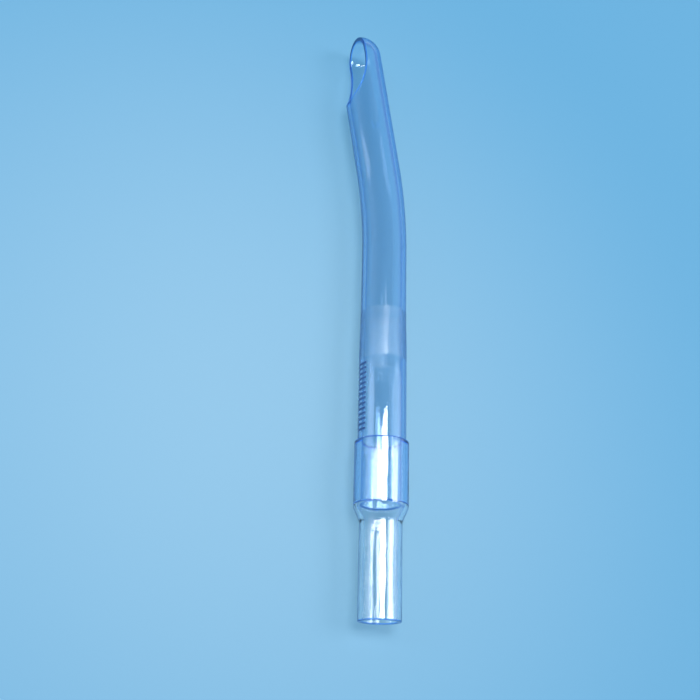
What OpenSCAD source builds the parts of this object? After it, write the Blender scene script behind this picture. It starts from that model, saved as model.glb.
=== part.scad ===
// Rigid curved suction cannula tip with a cemented hose connector.
// The origin is the centre of the hose end's face, +Y runs along the straight axis towards the tip,
// the tube bends towards -X in the XY plane, and +Z is up as the part lies on a table.

/* [Tube] */
// Outside diameter of the tube in the socket and up to the matt band
tube_d = 12; // [11.8:0.1:12]
// Outside diameter of the tube from the matt band to the tip
front_d = 11.66; // [11:0.02:11.8]
// Wall thickness of the tube
wall = 1.08; // [0.8:0.02:1.3]
// Distance from the hose end to the tube's end inside the socket
seat_y = 27.4; // [27.2:0.1:28.5]
// Where the matt band and its slight taper start
band_y = 64.2; // [60:0.1:68]
// Length of the matt band
band_len = 13.2; // [8:0.1:16]

/* [Bend] */
// Where the bend starts
bend_y = 94.3; // [86:0.1:100]
// Radius of the bend at the tube's axis
bend_r = 139; // [100:1:180]
// Angle of the bend
bend_angle = 10; // [6:0.5:14]
// Straight length from the bend to the centre of the round end
tip_len = 34.2; // [28:0.1:40]

/* [Scoop] */
// Distance from the tip's axis to the flat floor of the scoop
scoop_depth = 0.8; // [0.4:0.1:1.2]
// Radius of the curved run-out at the back of the scoop
scoop_r = 20; // [16:0.5:24]
// Distance back from the round end's centre to where the run-out starts
scoop_back = 1; // [0:0.1:3]

/* [Hose connector] */
// Outside diameter of the spigot that the hose goes over
spigot_d = 10.4; // [10:0.1:10.8]
// Length of the spigot
spigot_len = 23.3; // [20:0.1:24]
// Diameter of the bore through the spigot
bore_d = 8.2; // [7.6:0.1:8.6]
// Where the conical bore under the socket starts to widen
cone_y = 23.8; // [23.4:0.1:25]
// Width of the ledge that the tube's end sits on
ledge = 0.25; // [0.1:0.05:0.8]
// Outside diameter of the socket collar
collar_d = 13.4; // [13.2:0.1:14]
// Length of the conical shoulder between spigot and collar
shoulder_len = 3.4; // [2.5:0.1:3.8]
// Distance from the hose end to the socket's mouth
mouth_y = 42.9; // [40:0.1:46]

/* [Cement] */
// Thickness of the solvent cement between the tube and the socket
cement_t = 0.1; // [0.05:0.01:0.1]
// Size of the cement's fillet at the socket's mouth
fillet = 0.4; // [0.2:0.05:0.5]

/* [Size marks] */
// Number of printed bars
mark_count = 14; // [6:1:14]
// Where the first bar starts
mark_y = 45; // [44:0.1:46]
// Distance from one bar to the next
mark_pitch = 1.3; // [1:0.05:1.35]
// Width of a bar along the tube
mark_w = 0.6; // [0.3:0.05:0.8]
// Angle that a bar spans round the tube
mark_span = 30; // [15:1:36]
// Angle from the plane of the bend up to the middle of the bars
mark_lift = 10; // [0:1:15]
// Thickness of the ink
ink_t = 0.04; // [0.02:0.01:0.06]

/* [Hidden] */
$fn = 96;

tube_r = tube_d / 2;
front_r = front_d / 2;
tube_bore_r = tube_r - wall;
front_bore_r = front_r - wall;
band_end = band_y + band_len;
socket_r = tube_r + cement_t;
collar_r = collar_d / 2;
spigot_r = spigot_d / 2;
draw_down = 0.01; // how much the wall thins on each side where the tube was heated and bent
bent_r = front_r - draw_down;
bent_bore_r = front_bore_r + draw_down;
lap_angle = 0.02; // how far the bend enters the straight part's wall
shoulder_y = spigot_len + shoulder_len;
clear_t = 4; // how far the scoop's cutter reaches past the tube

// Turns a shape that was made along +Z so that it runs along +Y.
module along_y() {
    rotate([-90, 0, 0]) children();
}

// Places a shape at the end of the bend, with +Y along the tip and -X towards the inside of the bend.
module at_tip() {
    translate([-bend_r, bend_y, 0])
        rotate([0, 0, bend_angle])
            translate([bend_r, 0, 0])
                children();
}

// Straight part of the tube: base, tapered band and front, as one turned wall.
module straight_run() {
    outside = [[tube_r, seat_y], [tube_r, band_y], [front_r, band_end], [front_r, bend_y]];
    inside = [[front_bore_r, bend_y], [front_bore_r, band_end], [tube_bore_r, band_y], [tube_bore_r, seat_y]];
    along_y()
        rotate_extrude()
            polygon(concat(outside, inside));
}

// The bend runs back from the tip to the straight part, and enters its wall by a hair.
module bend_run() {
    translate([-bend_r, 0, 0])
        mirror([0, 1, 0])
            rotate_extrude(angle = bend_angle + lap_angle)
                translate([bend_r, 0])
                    difference() {
                        circle(r = bent_r);
                        circle(r = bent_bore_r);
                    }
}

// Straight tube closed by a half sphere, turned about the tip's axis.
module round_end(r) {
    along_y()
        rotate_extrude() {
            square([r, tip_len]);
            translate([0, tip_len])
                intersection() {
                    circle(r = r);
                    square([r, r]);
                }
        }
}

// The space that the scoop removes: flat towards the tip, run out on an arc towards the hose.
module scoop_cutter() {
    reach = front_r + clear_t;
    start = tip_len - scoop_back;
    translate([-scoop_depth - scoop_r, start, -reach])
        cylinder(r = scoop_r, h = 2 * reach, $fn = 180);
    translate([-scoop_depth - reach, start, -reach])
        cube([reach, scoop_back + reach, 2 * reach]);
}

module tip_run() {
    difference() {
        round_end(bent_r);
        round_end(bent_bore_r);
        scoop_cutter();
    }
}

module curved_tube() {
    color([0.70, 0.86, 0.97, 0.5]) {
        straight_run();
        at_tip() {
            bend_run();
            tip_run();
        }
    }
}

// Spigot, shoulder and collar are one moulding of nearly even wall, turned about the tube's axis.
module hose_connector() {
    outside = [[spigot_r, 0], [spigot_r, spigot_len], [collar_r, shoulder_y], [collar_r, mouth_y]];
    inside = [[socket_r, mouth_y], [socket_r, seat_y], [tube_r - ledge, seat_y], [bore_d / 2, cone_y], [bore_d / 2, 0]];
    color([0.78, 0.90, 0.98, 0.5])
        along_y()
            rotate_extrude()
                polygon(concat(outside, inside));
}

// A thin sleeve of cement with a small hollow fillet where it was squeezed out of the mouth.
module cement_film() {
    mouth_fillet = [for (a = [0 : 15 : 90])
        [tube_r + fillet * (1 - sin(a)), mouth_y + fillet * (1 - cos(a))]];
    sleeve = [[tube_r, seat_y], [socket_r, seat_y], [socket_r, mouth_y]];
    color([0.35, 0.55, 0.85, 0.6])
        along_y()
            rotate_extrude()
                polygon(concat(sleeve, mouth_fillet));
}

module mark() {
    start = 180 + mark_lift - mark_span / 2;
    along_y()
        rotate([0, 0, start])
            rotate_extrude(angle = mark_span)
                translate([tube_r, 0])
                    square([ink_t, mark_w]);
}

module size_marks() {
    color("midnightblue")
        for (i = [0 : mark_count - 1])
            translate([0, mark_y + i * mark_pitch, 0])
                mark();
}

curved_tube();
hose_connector();
cement_film();
size_marks();
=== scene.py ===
import bpy
import numpy as np
from math import pi, radians, sqrt
from mathutils import Matrix, Vector


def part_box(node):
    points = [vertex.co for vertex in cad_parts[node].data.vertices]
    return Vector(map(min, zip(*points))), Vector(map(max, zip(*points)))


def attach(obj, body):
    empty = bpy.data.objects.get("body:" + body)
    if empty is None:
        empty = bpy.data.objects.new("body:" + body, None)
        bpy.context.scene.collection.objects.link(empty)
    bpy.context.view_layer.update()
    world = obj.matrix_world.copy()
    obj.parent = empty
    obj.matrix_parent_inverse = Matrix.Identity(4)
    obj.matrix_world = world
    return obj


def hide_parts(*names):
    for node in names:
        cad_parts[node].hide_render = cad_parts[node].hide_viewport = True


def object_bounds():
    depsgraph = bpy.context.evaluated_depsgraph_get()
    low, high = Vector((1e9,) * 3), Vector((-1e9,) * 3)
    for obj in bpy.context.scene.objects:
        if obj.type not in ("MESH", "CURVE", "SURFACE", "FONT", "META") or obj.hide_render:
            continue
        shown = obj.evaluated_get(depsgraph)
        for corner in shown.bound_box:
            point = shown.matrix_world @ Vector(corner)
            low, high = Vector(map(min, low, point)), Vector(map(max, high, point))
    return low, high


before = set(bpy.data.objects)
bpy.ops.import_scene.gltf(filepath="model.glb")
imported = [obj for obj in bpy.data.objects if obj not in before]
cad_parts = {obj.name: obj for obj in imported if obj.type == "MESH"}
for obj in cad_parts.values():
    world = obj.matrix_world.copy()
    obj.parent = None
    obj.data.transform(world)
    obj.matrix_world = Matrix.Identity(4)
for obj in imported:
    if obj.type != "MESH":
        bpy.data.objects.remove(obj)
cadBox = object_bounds()
mm = 0.001  # shapes are worked out in millimetres and put into meshes in metres
print("frame loaded")


def cadSpan(node, axis):
    low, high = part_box(node)
    return low[axis] / mm, high[axis] / mm


baseEnd = cadSpan("curved_tube", 1)[0]
tubeRadius = cadSpan("curved_tube", 2)[1]
collarRadius = cadSpan("hose_connector", 2)[1]
hoseEnd, mouth = cadSpan("hose_connector", 1)
fillet = cadSpan("cement_film", 1)[1] - mouth
firstMark, lastMark = cadSpan("size_marks", 1)

# The view is square to a table that is rolled about the tube's axis from the part's own floor.
view = {"roll": 21.0, "place": (-8.3, -30.9, 257.4), "tilt": 20.8, "yaw": 0.0, "spin": 1.4, "lens": 56.2}


def toPart(turn):
    return Matrix.Rotation(radians(-view["roll"]), 4, "Y") @ turn


def placeCamera():
    data = bpy.data.cameras.new("camera")
    data.sensor_width = 36
    data.lens = view["lens"]
    data.clip_start, data.clip_end = 0.005, 20
    camera = bpy.data.objects.new("camera", data)
    bpy.context.collection.objects.link(camera)
    turn = Matrix.Rotation(radians(view["yaw"]), 4, "Z") @ Matrix.Rotation(radians(view["tilt"]), 4, "X")
    turn = turn @ Matrix.Rotation(radians(view["spin"]), 4, "Z")
    camera.matrix_world = toPart(Matrix.Translation(Vector(view["place"]) * mm) @ turn)
    bpy.context.scene.camera = camera


# A lamp's direction from the tube is across, about the tube's axis from straight above the table, and lean,
# from square to the axis towards the tip. Its glow is the radiance of its face, and turn slants its edges.
lamps = [
    {"name": "keyLamp", "across": 12.5, "lean": 11, "size": (0.68, 0.36), "turn": 3, "glow": 34.0,
     "colour": (1.0, 0.98, 0.96)},
    {"name": "sideLamp", "across": 57, "lean": 7, "size": (0.64, 0.48), "turn": 0, "glow": 13.0,
     "colour": (0.93, 0.95, 1.0)},
    {"name": "leftHaze", "across": -65, "lean": 7, "size": (1.3, 0.75), "turn": 0, "glow": 1.5,
     "colour": (0.9, 0.94, 1.0)},
    {"name": "rightHaze", "across": 74, "lean": 7, "size": (1.3, 0.75), "turn": 0, "glow": 1.5,
     "colour": (0.9, 0.94, 1.0)},
    {"name": "collarLamp", "across": -21, "lean": 13.5, "size": (0.95, 0.13), "turn": 0, "glow": 11.0,
     "colour": (1.0, 0.97, 0.96)},
    {"name": "lineLamp", "across": 9, "lean": 24, "size": (0.12, 0.08), "turn": 0, "glow": 3.0,
     "colour": (0.9, 0.96, 1.0)},
]
lampStand = {"far": 1.5, "aim": (0, 0.04, 0)}


def hangLamp(lamp):
    data = bpy.data.lights.new(lamp["name"], "AREA")
    data.shape = "RECTANGLE"
    data.size, data.size_y = lamp["size"]
    data.energy = pi * data.size * data.size_y * lamp["glow"]
    data.color = lamp["colour"]
    light = bpy.data.objects.new(lamp["name"], data)
    bpy.context.collection.objects.link(light)
    swing = Matrix.Rotation(radians(lamp["across"]), 4, "Y")
    swing = swing @ Matrix.Rotation(radians(-lamp["lean"]), 4, "X")
    hung = swing @ Matrix.Translation((0, 0, lampStand["far"]))
    hung = hung @ Matrix.Rotation(radians(lamp["turn"]), 4, "Z")
    light.matrix_world = toPart(Matrix.Translation(lampStand["aim"]) @ hung)


room = {"above": (0.13, 0.22, 0.36, 1), "level": (0.50, 0.66, 0.88, 1), "strength": 1.0}


def lightRoom():
    world = bpy.data.worlds.new("room")
    bpy.context.scene.world = world
    world.use_nodes = True
    nodes, links = world.node_tree.nodes, world.node_tree.links
    nodes.clear()
    way = nodes.new("ShaderNodeTexCoord")
    split = nodes.new("ShaderNodeSeparateXYZ")
    ramp = nodes.new("ShaderNodeValToRGB")
    glow = nodes.new("ShaderNodeBackground")
    out = nodes.new("ShaderNodeOutputWorld")
    links.new(way.outputs["Generated"], split.inputs[0])
    links.new(split.outputs["Z"], ramp.inputs[0])
    ramp.color_ramp.elements[0].position = 0.15
    ramp.color_ramp.elements[0].color = room["level"]
    ramp.color_ramp.elements[1].position = 0.75
    ramp.color_ramp.elements[1].color = room["above"]
    links.new(ramp.outputs["Color"], glow.inputs["Color"])
    glow.inputs["Strength"].default_value = room["strength"]
    links.new(glow.outputs[0], out.inputs["Surface"])


# near and far are how bright the card looks: the fade from near round the centre to far is a painted pool of
# lamp light, and part of the brightness is painted light, a glow of the card's own as of a sheet lit from
# below, which keeps shadows on it pale
floorStyle = {"near": (0.262, 0.545, 0.77, 1), "far": (0.105, 0.405, 0.68, 1), "glow": 0.6, "reflect": 0.19,
              "reach": 0.17, "centre": (-0.035, 0.05, 0), "roughness": 0.75, "size": 3.0}


def layFloor():
    half = floorStyle["size"] / 2
    low = cadBox[0].z
    corners = [(-half, -half, low), (half, -half, low), (half, half, low), (-half, half, low)]
    mesh = bpy.data.meshes.new("floor")
    mesh.from_pydata(corners, [], [(0, 1, 2, 3)])
    floor = bpy.data.objects.new("floor", mesh)
    bpy.context.collection.objects.link(floor)
    material = bpy.data.materials.new("paleBlueCard")
    material.use_nodes = True
    nodes, links = material.node_tree.nodes, material.node_tree.links
    shader = nodes["Principled BSDF"]
    shader.inputs["Roughness"].default_value = floorStyle["roughness"]
    where = nodes.new("ShaderNodeTexCoord")
    gap = nodes.new("ShaderNodeVectorMath")
    gap.operation = "DISTANCE"
    gap.inputs[1].default_value = floorStyle["centre"]
    links.new(where.outputs["Object"], gap.inputs[0])
    # painted pool of light: the card is brighter round the tube and fades with distance from the centre
    fade = nodes.new("ShaderNodeMapRange")
    fade.interpolation_type = "SMOOTHSTEP"
    fade.inputs["From Max"].default_value = floorStyle["reach"]
    links.new(gap.outputs["Value"], fade.inputs["Value"])
    mix = nodes.new("ShaderNodeMix")
    mix.data_type = "RGBA"
    mix.inputs["A"].default_value = floorStyle["near"]
    mix.inputs["B"].default_value = floorStyle["far"]
    links.new(fade.outputs["Result"], mix.inputs["Factor"])
    # painted light: the card glows with its own colour so that the tube's shadow on it stays pale
    links.new(mix.outputs["Result"], shader.inputs["Emission Color"])
    shader.inputs["Emission Strength"].default_value = floorStyle["glow"]
    dim = nodes.new("ShaderNodeVectorMath")
    dim.operation = "SCALE"
    dim.inputs["Scale"].default_value = floorStyle["reflect"]
    links.new(mix.outputs["Result"], dim.inputs[0])
    links.new(dim.outputs[0], shader.inputs["Base Color"])
    mesh.materials.append(material)


placeCamera()
for lamp in lamps:
    hangLamp(lamp)
lightRoom()
layFloor()
scene = bpy.context.scene
scene.view_settings.view_transform = "Standard"
scene.cycles.max_bounces = scene.cycles.transmission_bounces = 24
scene.cycles.transparent_max_bounces = 32
print("camera, lamps and floor placed")


def rowFlags(rows, columns, chosen):
    # 1 for the faces that start on a chosen row
    flags = np.zeros((rows, columns))
    flags[chosen] = 1
    return flags.ravel()


def wrapGrid(rows, columns):
    # one quad for each place in a grid that closes on itself both ways
    row, column = np.meshgrid(np.arange(rows), np.arange(columns), indexing="ij")
    nextRow, nextColumn = (row + 1) % rows, (column + 1) % columns
    corners = [row * columns + column, row * columns + nextColumn,
               nextRow * columns + nextColumn, nextRow * columns + column]
    return np.stack(corners, -1).reshape(-1, 4)


def makeMesh(name, points, quads, flags, straight=None):
    # flags hold a value for each face: joined is 1 where it touches cement, rim is 1 where it is a cut edge
    # six times the volume is the sum of a . (b x c) over triangles; a negative one turns the faces round
    a, b, c, d = (points[quads[:, k]] for k in range(4))
    volume = np.einsum("ij,ij->", a, np.cross(b, c)) + np.einsum("ij,ij->", a, np.cross(c, d))
    if volume < 0:
        quads = quads[:, ::-1]
    mesh = bpy.data.meshes.new(name)
    mesh.vertices.add(len(points))
    mesh.vertices.foreach_set("co", (points * mm).astype(np.float32).ravel())
    mesh.loops.add(quads.size)
    mesh.loops.foreach_set("vertex_index", quads.astype(np.int32).ravel())
    mesh.polygons.add(len(quads))
    mesh.polygons.foreach_set("loop_start", np.arange(0, quads.size, 4, dtype=np.int32))
    mesh.polygons.foreach_set("use_smooth", np.ones(len(quads), dtype=bool))
    mesh.update(calc_edges=True)
    for label, values in flags.items():
        mesh.attributes.new(label, "FLOAT", "FACE").data.foreach_set("value", values.astype(np.float32))
    if straight is not None:
        flow = mesh.attributes.new("straight", "FLOAT_VECTOR", "POINT")
        flow.data.foreach_set("vector", (straight * mm).astype(np.float32).ravel())
    piece = bpy.data.objects.new(name, mesh)
    bpy.context.collection.objects.link(piece)
    return piece


supportGap = 0.04  # from the end of a rounded corner to the row beside it
cornerPoints = 8  # on each rounded corner, those rows among them


def easeBetween(low, high, value):
    # 3t^2 - 2t^3, with t running from 0 at low to 1 at high
    t = np.clip((value - low) / (high - low), 0, 1)
    return t * t * (3 - 2 * t)


def roundCorners(corners, steps=cornerPoints - 2):
    # Each corner (along, out, size) becomes a curve that starts and ends size away on its two sides:
    # (1-t)^2 before + 2t(1-t) corner + t^2 after. A further point on each side keeps the straights flat.
    place = np.array([c[:2] for c in corners], float)
    size = np.array([c[2] for c in corners])[:, None]
    back, ahead = np.roll(place, 1, 0) - place, np.roll(place, -1, 0) - place
    back /= np.linalg.norm(back, axis=1)[:, None]
    ahead /= np.linalg.norm(ahead, axis=1)[:, None]
    before, after = place + back * size, place + ahead * size
    t = np.linspace(0, 1, steps)[:, None, None]
    curve = (1 - t) ** 2 * before + 2 * t * (1 - t) * place + t * t * after
    curve = np.concatenate([[before + back * supportGap], curve, [after + ahead * supportGap]])
    return curve.transpose(1, 0, 2).reshape(-1, 2)


def turnProfile(profile, columns):
    # every profile point (along, out) goes round the Y axis: (out cos v, along, out sin v)
    v = np.arange(columns) * 2 * pi / columns
    along, out = profile[:, :1], profile[:, 1:]
    return np.stack([out * np.cos(v), along + 0 * v, out * np.sin(v)], -1)


# thinning is how much the heated tube's wall loses. cementReach is how far past the socket's mouth the first
# bare row is, and tipChart is how far back from the dome's centre the chart of the tip starts.
tube = {"frontRadius": 5.82, "wall": 1.08, "thinning": 0.02, "bandStart": 64.2, "bandEnd": 77.4,
        "bendStart": 94.3, "bendRadius": 139.0, "bend": radians(10), "tipLength": 34.2,
        "scoopDepth": 0.8, "scoopRadius": 20.0, "scoopBack": 1.0, "rimRound": 0.3, "endRound": 0.16,
        "seatGap": 0.06, "cementReach": 0.2, "tipChart": 19.0, "columns": 160, "bendRows": 40, "tipRows": 56,
        "rimPoints": 3000}
domeCentre = tube["bendStart"] + tube["bendRadius"] * tube["bend"] + tube["tipLength"]


def bendTube(points):
    # A straight tube's point (towards the inside of the bend, along, up) is carried round the bend:
    # its place along is spent first on the straight, then on the arc, and the rest goes on along the tangent.
    inside, along, up = points[..., 0], points[..., 1], points[..., 2]
    past = along - tube["bendStart"]
    turn = np.clip(past / tube["bendRadius"], 0, tube["bend"])
    rest = past - tube["bendRadius"] * turn
    x = -tube["bendRadius"] * (1 - np.cos(turn)) - rest * np.sin(turn) - inside * np.cos(turn)
    y = tube["bendStart"] + tube["bendRadius"] * np.sin(turn) + rest * np.cos(turn) - inside * np.sin(turn)
    return np.stack([x, y, up], -1)


def onCapsule(chart, radius):
    # A flat chart of the round end: distance from its centre is the arc length back from the end's pole,
    # first over the half sphere and then along the cylinder.
    reach = np.hypot(chart[..., 0], chart[..., 1])
    turn = np.arctan2(chart[..., 1], chart[..., 0])
    bow = np.clip(reach / radius, 0, pi / 2)
    out = radius * np.sin(bow)
    along = domeCentre + radius * np.cos(bow) - np.maximum(reach - radius * pi / 2, 0)
    return np.stack([out * np.cos(turn), along, out * np.sin(turn)], -1)


def chartOf(points, radius):
    # the inverse of onCapsule
    past = points[..., 1] - domeCentre
    out = np.hypot(points[..., 0], points[..., 2])
    bow = np.arctan2(out, np.maximum(past, 0))
    reach = radius * bow + np.maximum(-past, 0)
    turn = np.arctan2(points[..., 2], points[..., 0])
    return np.stack([reach * np.cos(turn), reach * np.sin(turn)], -1)


def scoopRim(radius, columns):
    # The scoop's floor is scoopDepth from the axis near the end, and rises on an arc of scoopRadius further
    # back. At each place along, the rim is where that floor meets the tube or the sphere.
    depth, arc, back = tube["scoopDepth"], tube["scoopRadius"], tube["scoopBack"]
    heel = -back - sqrt(arc ** 2 - (arc - (radius - depth)) ** 2)
    apex = sqrt(radius ** 2 - depth ** 2)
    past = heel + (apex - heel) * (1 - np.cos(np.linspace(0, pi, tube["rimPoints"]))) / 2
    behind = np.minimum(past + back, 0)
    floor = depth + arc - np.sqrt(arc ** 2 - behind ** 2)
    outSquared = radius ** 2 - np.maximum(past, 0) ** 2
    side = np.sqrt(np.maximum(outSquared - floor ** 2, 0))
    line = np.stack([floor, past + domeCentre, side], -1)
    run = np.concatenate([[0], np.cumsum(np.linalg.norm(np.diff(line, axis=0), axis=1))])
    wanted = np.linspace(0, run[-1], columns // 2 + 1)
    half = np.stack([np.interp(wanted, run, line[:, k]) for k in range(3)], -1)
    return np.concatenate([half, half[-2:0:-1] * (1, 1, -1)])


def awayFromRim(rim, radius, distance):
    # steps over the surface at right angles to the rim, away from the opening
    along = np.roll(rim, -1, 0) - np.roll(rim, 1, 0)
    along /= np.linalg.norm(along, axis=1)[:, None]
    normal = rim - (0, domeCentre, 0)
    normal[:, 1] = np.maximum(normal[:, 1], 0)
    normal /= np.linalg.norm(normal, axis=1)[:, None]
    step = np.cross(along, normal)
    if step[0, 1] > 0:  # at the heel, away from the opening is towards the hose
        step = -step
    return chartOf(rim + step * distance, radius)


def tipSurface(radius, edge, ringAt):
    # rows of the chart run in straight lines from a full ring round the tube to the edge beside the rim
    turn = np.arange(tube["columns"]) * 2 * pi / tube["columns"]
    ring = (radius * pi / 2 + domeCentre - ringAt) * np.stack([np.cos(turn), np.sin(turn)], -1)
    t = np.linspace(0, 1, tube["tipRows"])[:, None, None]
    t = 1 - (1 - t) ** 1.4
    return onCapsule(ring * (1 - t) + edge * t, radius)


def tubeRings(radiusOf, stations):
    turn = np.arange(tube["columns"]) * 2 * pi / tube["columns"]
    out = radiusOf(stations)[:, None]
    along = stations[:, None] + 0 * turn
    return np.stack([out * np.cos(turn), along, out * np.sin(turn)], -1)


def rimRows(fromPoint, corner, toPoint, steps=6):
    # (1-t)^2 from + 2t(1-t) corner + t^2 to
    t = np.linspace(0, 1, steps)[1:, None, None]
    return (1 - t) ** 2 * fromPoint + 2 * t * (1 - t) * corner + t * t * toPoint


def makeTube():
    outer, inner = tube["frontRadius"], tube["frontRadius"] - tube["wall"] + tube["thinning"]

    def outside(along):
        return tubeRadius + (outer - tubeRadius) * easeBetween(tube["bandStart"], tube["bandEnd"], along)

    def inside(along):
        return outside(along) + (inner - outer)

    ringAt = domeCentre - tube["tipChart"]
    bendEnd = tube["bendStart"] + tube["bendRadius"] * tube["bend"]
    start = baseEnd + tube["seatGap"]
    stations = np.concatenate([
        [start + tube["endRound"] + supportGap],
        np.linspace(mouth + tube["cementReach"], tube["bandStart"], 6),
        np.linspace(tube["bandStart"], tube["bandEnd"], 12)[1:],
        np.linspace(tube["bandEnd"], tube["bendStart"], 5)[1:],
        np.linspace(tube["bendStart"], bendEnd, tube["bendRows"])[1:],
        np.linspace(bendEnd, ringAt, 5)[1:-1]])
    rimOut, rimIn = scoopRim(outer, tube["columns"]), scoopRim(inner, tube["columns"])
    across = rimIn - rimOut
    across /= np.linalg.norm(across, axis=1)[:, None]
    edgeOut = awayFromRim(rimOut, outer, tube["rimRound"])
    edgeIn = awayFromRim(rimIn, inner, tube["rimRound"])
    cutOut, cutIn = rimOut + across * tube["rimRound"], rimIn - across * tube["rimRound"]
    skinOut = np.concatenate([tubeRings(outside, stations), tipSurface(outer, edgeOut, ringAt)])
    skinIn = np.concatenate([tubeRings(inside, stations), tipSurface(inner, edgeIn, ringAt)])
    roundOut = rimRows(skinOut[-1], rimOut, cutOut)
    roundIn = rimRows(cutIn, rimIn, skinIn[-1])[:-1]
    size = tube["endRound"]
    outR, inR = outside(np.array(start)), inside(np.array(start))
    endProfile = roundCorners([(start, inR, size), (start, outR, size), (start + 5, outR, 0),
                               (start + 5, inR, 0)])[1:2 * cornerPoints - 1]
    turn = np.arange(tube["columns"]) * 2 * pi / tube["columns"]
    along, out = endProfile[:, :1], endProfile[:, 1:]
    cutEnd = np.stack([out * np.cos(turn), along + 0 * turn, out * np.sin(turn)], -1)
    straight = np.concatenate([skinOut, roundOut, cutIn[None], roundIn, skinIn[::-1], cutEnd])
    bent = bendTube(straight)
    shape = straight.shape[:2]
    rimStart, rimEnd = len(skinOut) - 1, len(skinOut) + len(roundOut) + 1 + len(roundIn)
    rim = list(range(rimStart, rimEnd)) + list(range(shape[0] - len(cutEnd), shape[0] - 1))
    return makeMesh("clearTube", bent.reshape(-1, 3), wrapGrid(*shape),
                    {"joined": rowFlags(*shape, [0]), "rim": rowFlags(*shape, rim)}, straight.reshape(-1, 3))


# corner sizes, in order from the bore's end round the outside and back down the socket
connector = {"spigotRadius": 5.2, "boreRadius": 4.1, "spigotLength": 23.3, "shoulderLength": 3.4,
             "socketRadius": tubeRadius + 0.1, "ledgeRadius": 5.75, "coneStart": 23.8, "columns": 160,
             "corners": (0.3, 0.3, 0.5, 0.5, 0.2, 0.15, 0.05, 0.06, 0.5)}


def makeConnector():
    shoulder = hoseEnd + connector["spigotLength"]
    collar = shoulder + connector["shoulderLength"]
    spigot, bore, socket = connector["spigotRadius"], connector["boreRadius"], connector["socketRadius"]
    places = [
        (hoseEnd, bore), (hoseEnd, spigot), (shoulder, spigot), (collar, collarRadius),
        (mouth, collarRadius), (mouth, socket), (baseEnd, socket), (baseEnd, connector["ledgeRadius"]),
        (connector["coneStart"], bore)]
    profile = roundCorners([(*place, size) for place, size in zip(places, connector["corners"])])
    rings = turnProfile(profile, connector["columns"])
    socketWall = 6 * cornerPoints - 1  # from the last point of the sixth corner to the first of the seventh
    shape = rings.shape[:2]
    # the hose end's two corners, the mouth's two corners and the ledge
    rim = [row for first, last in ((0, 2), (4, 6), (6, 8)) for row in
           range(first * cornerPoints, last * cornerPoints - 1) if row != socketWall]
    return makeMesh("hoseConnector", rings.reshape(-1, 3), wrapGrid(*shape),
                    {"joined": rowFlags(*shape, [socketWall]), "rim": rowFlags(*shape, rim)})


# the fillet is smaller than the record's by trim, and its size wanders round the tube
cement = {"inset": 0.004, "columns": 160, "wander": 0.07, "trim": 0.13, "endGap": 0.05, "rise": 0.01}


def makeCement():
    # a thin sleeve whose mouth fillet grows and shrinks round the tube by a sum of slow waves
    inner, outer = tubeRadius + cement["inset"], connector["socketRadius"] - cement["inset"]
    turn = np.arange(cement["columns"]) * 2 * pi / cement["columns"]
    wave = cement["wander"] * (np.sin(2 * turn + 0.7) + 0.6 * np.sin(5 * turn) + 0.4 * np.sin(9 * turn + 2))
    size = (fillet - cement["trim"]) + wave
    bow = np.linspace(0, pi / 2, 8)[:, None]
    start, rise = baseEnd + cement["endGap"], mouth + cement["rise"]
    ring = np.ones((1, cement["columns"]))
    along = np.concatenate([start * ring, start * ring, rise * ring, rise + size * (1 - np.cos(bow))])
    out = np.concatenate([inner * ring, outer * ring, outer * ring, inner + size * (1 - np.sin(bow))])
    rings = np.stack([out * np.cos(turn), along, out * np.sin(turn)], -1)
    shape = rings.shape[:2]
    return makeMesh("cementFilm", rings.reshape(-1, 3), wrapGrid(*shape),
                    {"joined": rowFlags(*shape, [0, 1, 2, -1])})


marks = {"count": 14, "pitch": 1.3, "span": radians(30), "lift": radians(10), "ink": 0.03, "float": 0.004,
         "cells": (14, 6), "squeeze": 0.06, "endDraw": 0.12}


def makeMarks():
    # Each bar is a closed slab of two grids on the tube, in (place round it, place along it). The grids'
    # corners are drawn in by a superellipse, and the far pair are stitched edge to edge.
    rows, columns = marks["cells"]
    width = lastMark - firstMark - marks["pitch"] * (marks["count"] - 1)
    u, v = np.meshgrid(np.linspace(-1, 1, rows + 1), np.linspace(-1, 1, columns + 1), indexing="ij")
    turn = pi + marks["lift"] + marks["span"] / 2 * u * (1 - marks["squeeze"] * v ** 2)
    index = np.arange((rows + 1) * (columns + 1)).reshape(rows + 1, columns + 1)
    cell = np.stack([index[:-1, :-1], index[1:, :-1], index[1:, 1:], index[:-1, 1:]], -1).reshape(-1, 4)
    loop = np.concatenate([index[:-1, 0], index[-1, :-1], index[:0:-1, -1], index[0, :0:-1]])
    lower = index.size
    after = np.roll(loop, -1)
    wall = np.stack([loop, loop + lower, after + lower, after], -1)
    slab = np.concatenate([cell, cell[:, ::-1] + lower, wall])
    points, quads = [], []
    for k in range(marks["count"]):
        along = firstMark + width / 2 + k * marks["pitch"] + width / 2 * v * (1 - marks["endDraw"] * u ** 8)
        for height in (marks["ink"], marks["float"]):
            out = tubeRadius + height
            bar = np.stack([out * np.cos(turn), along, -out * np.sin(turn)], -1)
            points.append(bar.reshape(-1, 3))
        quads.append(slab + k * 2 * lower)
    quads = np.concatenate(quads)
    return makeMesh("sizeMarks", np.concatenate(points), quads, {})


def startGroup(name, inputs, outputs):
    group = bpy.data.node_groups.new(name, "ShaderNodeTree")
    for label, kind, value in inputs:
        socket = group.interface.new_socket(label, in_out="INPUT", socket_type=kind)
        if value is not None:
            socket.default_value = value
    for label, kind in outputs:
        group.interface.new_socket(label, in_out="OUTPUT", socket_type=kind)
    return group, group.nodes.new("NodeGroupInput"), group.nodes.new("NodeGroupOutput")


def mathNode(tree, operation, *values):
    node = tree.nodes.new("ShaderNodeMath")
    node.operation = operation
    for k, value in enumerate(values):
        if isinstance(value, (int, float)):
            node.inputs[k].default_value = value
        else:
            tree.links.new(value, node.inputs[k])
    return node.outputs[0]


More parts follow.
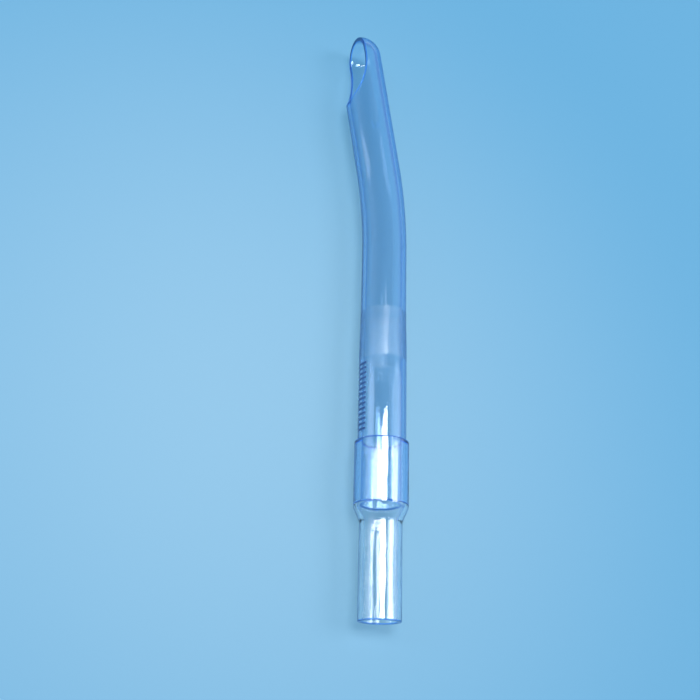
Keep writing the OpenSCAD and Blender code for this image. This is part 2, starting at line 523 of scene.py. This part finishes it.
def makeDrawnLines():
    # Faint long ripples along the piece, left by drawing or moulding, with a fine grain over them.
    group, given, result = startGroup(
        "drawnLines",
        [("Place", "NodeSocketVector", None), ("Across", "NodeSocketFloat", 900.0),
         ("Along", "NodeSocketFloat", 18.0), ("Grain", "NodeSocketFloat", 0.08)],
        [("Height", "NodeSocketFloat")])
    stretch = group.nodes.new("ShaderNodeCombineXYZ")
    for axis, name in (("X", "Across"), ("Y", "Along"), ("Z", "Across")):
        group.links.new(given.outputs[name], stretch.inputs[axis])
    scaled = group.nodes.new("ShaderNodeVectorMath")
    scaled.operation = "MULTIPLY"
    group.links.new(given.outputs["Place"], scaled.inputs[0])
    group.links.new(stretch.outputs[0], scaled.inputs[1])
    ripple = group.nodes.new("ShaderNodeTexNoise")
    ripple.inputs["Scale"].default_value = 1.0
    ripple.inputs["Detail"].default_value = 2.0
    group.links.new(scaled.outputs[0], ripple.inputs["Vector"])
    grain = group.nodes.new("ShaderNodeTexNoise")
    grain.inputs["Scale"].default_value = 2600.0
    group.links.new(given.outputs["Place"], grain.inputs["Vector"])
    fine = mathNode(group, "MULTIPLY", grain.outputs[0], given.outputs["Grain"])
    height = mathNode(group, "ADD", ripple.outputs[0], fine)
    group.links.new(height, result.inputs["Height"])
    return group


def makeBandMask():
    # 1 between two places along Y and 0 outside, with an edge of the given width that wanders slightly
    group, given, result = startGroup(
        "bandMask",
        [("Place", "NodeSocketVector", None), ("From", "NodeSocketFloat", 0.0),
         ("To", "NodeSocketFloat", 1.0), ("Edge", "NodeSocketFloat", 0.0003)],
        [("Mask", "NodeSocketFloat")])
    split = group.nodes.new("ShaderNodeSeparateXYZ")
    group.links.new(given.outputs["Place"], split.inputs[0])
    noise = group.nodes.new("ShaderNodeTexNoise")
    noise.inputs["Scale"].default_value = 700.0
    group.links.new(given.outputs["Place"], noise.inputs["Vector"])
    wander = mathNode(group, "MULTIPLY", noise.outputs[0], given.outputs["Edge"])
    along = mathNode(group, "ADD", split.outputs["Y"], wander)
    steps = []
    for name, sign in (("From", 1), ("To", -1)):
        gap = mathNode(group, "SUBTRACT", along, given.outputs[name])
        ratio = mathNode(group, "DIVIDE", gap, given.outputs["Edge"])
        steps.append(mathNode(group, "MULTIPLY_ADD", ratio, float(sign), 0.5))
        steps[-1].node.use_clamp = True
    group.links.new(mathNode(group, "MULTIPLY", *steps), result.inputs["Mask"])
    return group


def makeWearMask():
    # Patches of fine haze and a few handling scratches, from 0 to 1.
    group, given, result = startGroup(
        "wearMask",
        [("Place", "NodeSocketVector", None), ("Patch", "NodeSocketFloat", 120.0),
         ("Amount", "NodeSocketFloat", 0.5)],
        [("Mask", "NodeSocketFloat")])
    patch = group.nodes.new("ShaderNodeTexNoise")
    patch.inputs["Detail"].default_value = 5.0
    group.links.new(given.outputs["Patch"], patch.inputs["Scale"])
    group.links.new(given.outputs["Place"], patch.inputs["Vector"])
    scratch = group.nodes.new("ShaderNodeTexVoronoi")
    scratch.feature = "DISTANCE_TO_EDGE"
    scratch.inputs["Scale"].default_value = 240.0
    group.links.new(given.outputs["Place"], scratch.inputs["Vector"])
    thin = mathNode(group, "LESS_THAN", scratch.outputs["Distance"], 0.012)
    cloud = mathNode(group, "MULTIPLY", mathNode(group, "POWER", patch.outputs[0], 3.0), 1.6)
    both = mathNode(group, "MULTIPLY_ADD", thin, 0.25, cloud)
    group.links.new(mathNode(group, "MULTIPLY", both, given.outputs["Amount"]), result.inputs["Mask"])
    return group


drawnLines, bandMask, wearMask = makeDrawnLines(), makeBandMask(), makeWearMask()
print("node groups built")


def addGroup(tree, group, place, **values):
    node = tree.nodes.new("ShaderNodeGroup")
    node.node_tree = group
    tree.links.new(place, node.inputs["Place"])
    for name, value in values.items():
        node.inputs[name].default_value = value
    return node.outputs[0]


def startClear(name, style, attribute=None):
    # Clear plastic that bends light and takes colour from it by the depth it passes through. Towards its
    # outline and on cut edges its colour turns to a painted navy shade, and cut edges carry a painted glow.
    # Faces that touch cement let light straight on, so that the joint looks like one block.
    material = bpy.data.materials.new(name)
    material.use_nodes = True
    tree = material.node_tree
    shader = tree.nodes["Principled BSDF"]
    shader.inputs["IOR"].default_value = style["ior"]
    shader.inputs["Transmission Weight"].default_value = 1.0
    depth = tree.nodes.new("ShaderNodeVolumeAbsorption")
    depth.inputs["Color"].default_value = style["depthColour"]
    depth.inputs["Density"].default_value = style["depth"]
    tree.links.new(depth.outputs[0], tree.nodes["Material Output"].inputs["Volume"])
    # painted shade: the plastic's tint turns darker navy as its faces turn edge-on to the view
    graze = tree.nodes.new("ShaderNodeLayerWeight")
    graze.inputs["Blend"].default_value = 0.5
    edge = tree.nodes.new("ShaderNodeMapRange")
    edge.interpolation_type = "SMOOTHSTEP"
    edge.inputs["From Min"].default_value, edge.inputs["From Max"].default_value = style["edge"]
    tree.links.new(graze.outputs["Facing"], edge.inputs["Value"])
    tint = tree.nodes.new("ShaderNodeMix")
    tint.data_type = "RGBA"
    tint.inputs["A"].default_value = style["colour"]
    tint.inputs["B"].default_value = style["grazingShadeColour"]
    rim = tree.nodes.new("ShaderNodeAttribute")
    rim.attribute_name = "rim"
    edgeShadeAmount = mathNode(tree, "MAXIMUM", edge.outputs["Result"], rim.outputs["Fac"])
    tree.links.new(edgeShadeAmount, tint.inputs["Factor"])
    tree.links.new(tint.outputs["Result"], shader.inputs["Base Color"])
    joined = tree.nodes.new("ShaderNodeAttribute")
    joined.attribute_name = "joined"
    tree.links.new(mathNode(tree, "SUBTRACT", 1.0, joined.outputs["Fac"]), shader.inputs["Alpha"])
    # painted light: cut edges glow navy and take the painted shade colour, standing in for the dark rims
    shader.inputs["Emission Color"].default_value = style["paintedRimGlowColour"]
    tree.links.new(mathNode(tree, "MULTIPLY", rim.outputs["Fac"], style["paintedRimGlow"]),
                   shader.inputs["Emission Strength"])
    if attribute:
        place = tree.nodes.new("ShaderNodeAttribute")
        place.attribute_name = attribute
        place = place.outputs["Vector"]
    else:
        place = tree.nodes.new("ShaderNodeTexCoord").outputs["Object"]
    return material, tree, shader, place


def addLines(tree, shader, place, lines):
    # faint ripples as bump: their fineness across and along, their grain, and the bump's strength and depth
    height = addGroup(tree, drawnLines, place, Across=lines["across"], Along=lines["along"],
                      Grain=lines["grain"])
    bump = tree.nodes.new("ShaderNodeBump")
    bump.inputs["Strength"].default_value = lines["strength"]
    bump.inputs["Distance"].default_value = lines["distance"]
    tree.links.new(height, bump.inputs["Height"])
    tree.links.new(bump.outputs[0], shader.inputs["Normal"])


def addGloss(tree, shader, place, style, matt=None):
    # roughness is the gloss, with patches of haze, and more where matt is 1
    rough = addGroup(tree, wearMask, place, Patch=style["patch"], Amount=style["haze"])
    if matt is not None:
        rough = mathNode(tree, "MULTIPLY_ADD", matt, style["matt"], rough)
    tree.links.new(mathNode(tree, "ADD", rough, style["gloss"]), shader.inputs["Roughness"])


# the edge colour is painted shade towards the outline, and the rim colour and glow are a painted glow on cut
# edges
tubeLook = {"colour": (1, 1, 1, 1), "ior": 1.52, "depth": 240.0, "depthColour": (0.04, 0.56, 0.97, 1),
            "edge": (0.35, 0.8), "grazingShadeColour": (0.09, 0.28, 0.66, 1),
            "gloss": 0.012, "haze": 0.04, "patch": 140.0, "matt": 0.2, "bandEdge": 0.0004,
            "paintedRimGlowColour": (0.02, 0.14, 0.55, 1), "paintedRimGlow": 0.35,
            "lines": {"across": 900.0, "along": 7.0, "grain": 0.03, "strength": 0.6, "distance": 0.0001}}


def clearTubeMaterial():
    material, tree, shader, place = startClear("clearTubePlastic", tubeLook, "straight")
    band = addGroup(tree, bandMask, place, From=tube["bandStart"] * mm, To=tube["bandEnd"] * mm,
                    Edge=tubeLook["bandEdge"])
    addGloss(tree, shader, place, tubeLook, band)
    addLines(tree, shader, place, tubeLook["lines"])
    return material


# the edge colour is painted shade towards the outline, and the rim colour and glow are a painted glow on cut
# edges
connectorLook = {"colour": (1, 1, 1, 1), "ior": 1.5, "depth": 60.0, "depthColour": (0.10, 0.55, 0.93, 1),
                 "edge": (0.5, 0.9), "grazingShadeColour": (0.10, 0.26, 0.66, 1),
                 "gloss": 0.01, "haze": 0.04, "patch": 220.0,
                 "paintedRimGlowColour": (0.02, 0.14, 0.55, 1), "paintedRimGlow": 0.35,
                 "lines": {"across": 900.0, "along": 70.0, "grain": 0.04, "strength": 0.6,
                           "distance": 0.0001}}


def clearConnectorMaterial():
    material, tree, shader, place = startClear("clearConnectorPlastic", connectorLook)
    addGloss(tree, shader, place, connectorLook)
    addLines(tree, shader, place, connectorLook["lines"])
    return material


# the edge colour is painted shade towards the outline; the cement's rim glow is off
cementLook = {"colour": (1, 1, 1, 1), "ior": 1.48, "depth": 150.0, "depthColour": (0.10, 0.50, 0.85, 1),
              "edge": (0.4, 0.9), "grazingShadeColour": (0.03, 0.12, 0.5, 1),
              "gloss": 0.03, "haze": 0.3, "patch": 300.0,
              "paintedRimGlowColour": (0.02, 0.14, 0.55, 1), "paintedRimGlow": 0.0,
              "lines": {"across": 500.0, "along": 200.0, "grain": 0.2, "strength": 0.4, "distance": 0.00006}}


def cementMaterial():
    material, tree, shader, place = startClear("driedCement", cementLook)
    addGloss(tree, shader, place, cementLook)
    addLines(tree, shader, place, cementLook["lines"])
    return material


inkLook = {"thick": (0.012, 0.045, 0.16, 1), "thin": (0.05, 0.15, 0.36, 1), "roughness": 0.45,
           "patch": 2200.0,
           "lines": {"across": 3000.0, "along": 3000.0, "grain": 0.3, "strength": 0.2, "distance": 0.00001}}


def inkMaterial():
    material = bpy.data.materials.new("blueInk")
    material.use_nodes = True
    tree = material.node_tree
    shader = tree.nodes["Principled BSDF"]
    place = tree.nodes.new("ShaderNodeTexCoord").outputs["Object"]
    shader.inputs["Roughness"].default_value = inkLook["roughness"]
    patch = addGroup(tree, wearMask, place, Patch=inkLook["patch"], Amount=1.0)
    mix = tree.nodes.new("ShaderNodeMix")
    mix.data_type = "RGBA"
    mix.inputs["A"].default_value = inkLook["thick"]
    mix.inputs["B"].default_value = inkLook["thin"]
    tree.links.new(patch, mix.inputs["Factor"])
    tree.links.new(mix.outputs["Result"], shader.inputs["Base Color"])
    addLines(tree, shader, place, inkLook["lines"])
    return material


pieces = [
    (makeTube, clearTubeMaterial, "curved_tube", "clear_tube"),
    (makeConnector, clearConnectorMaterial, "hose_connector", "clear_connector"),
    (makeCement, cementMaterial, "cement_film", "cement"),
    (makeMarks, inkMaterial, "size_marks", "blue_ink"),
]
for make, finish, node, slot in pieces:
    piece = make()
    piece.data.materials.append(finish())
    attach(piece, "root")
    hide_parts(node)
    print(piece.name, "made:", len(piece.data.polygons), "faces")
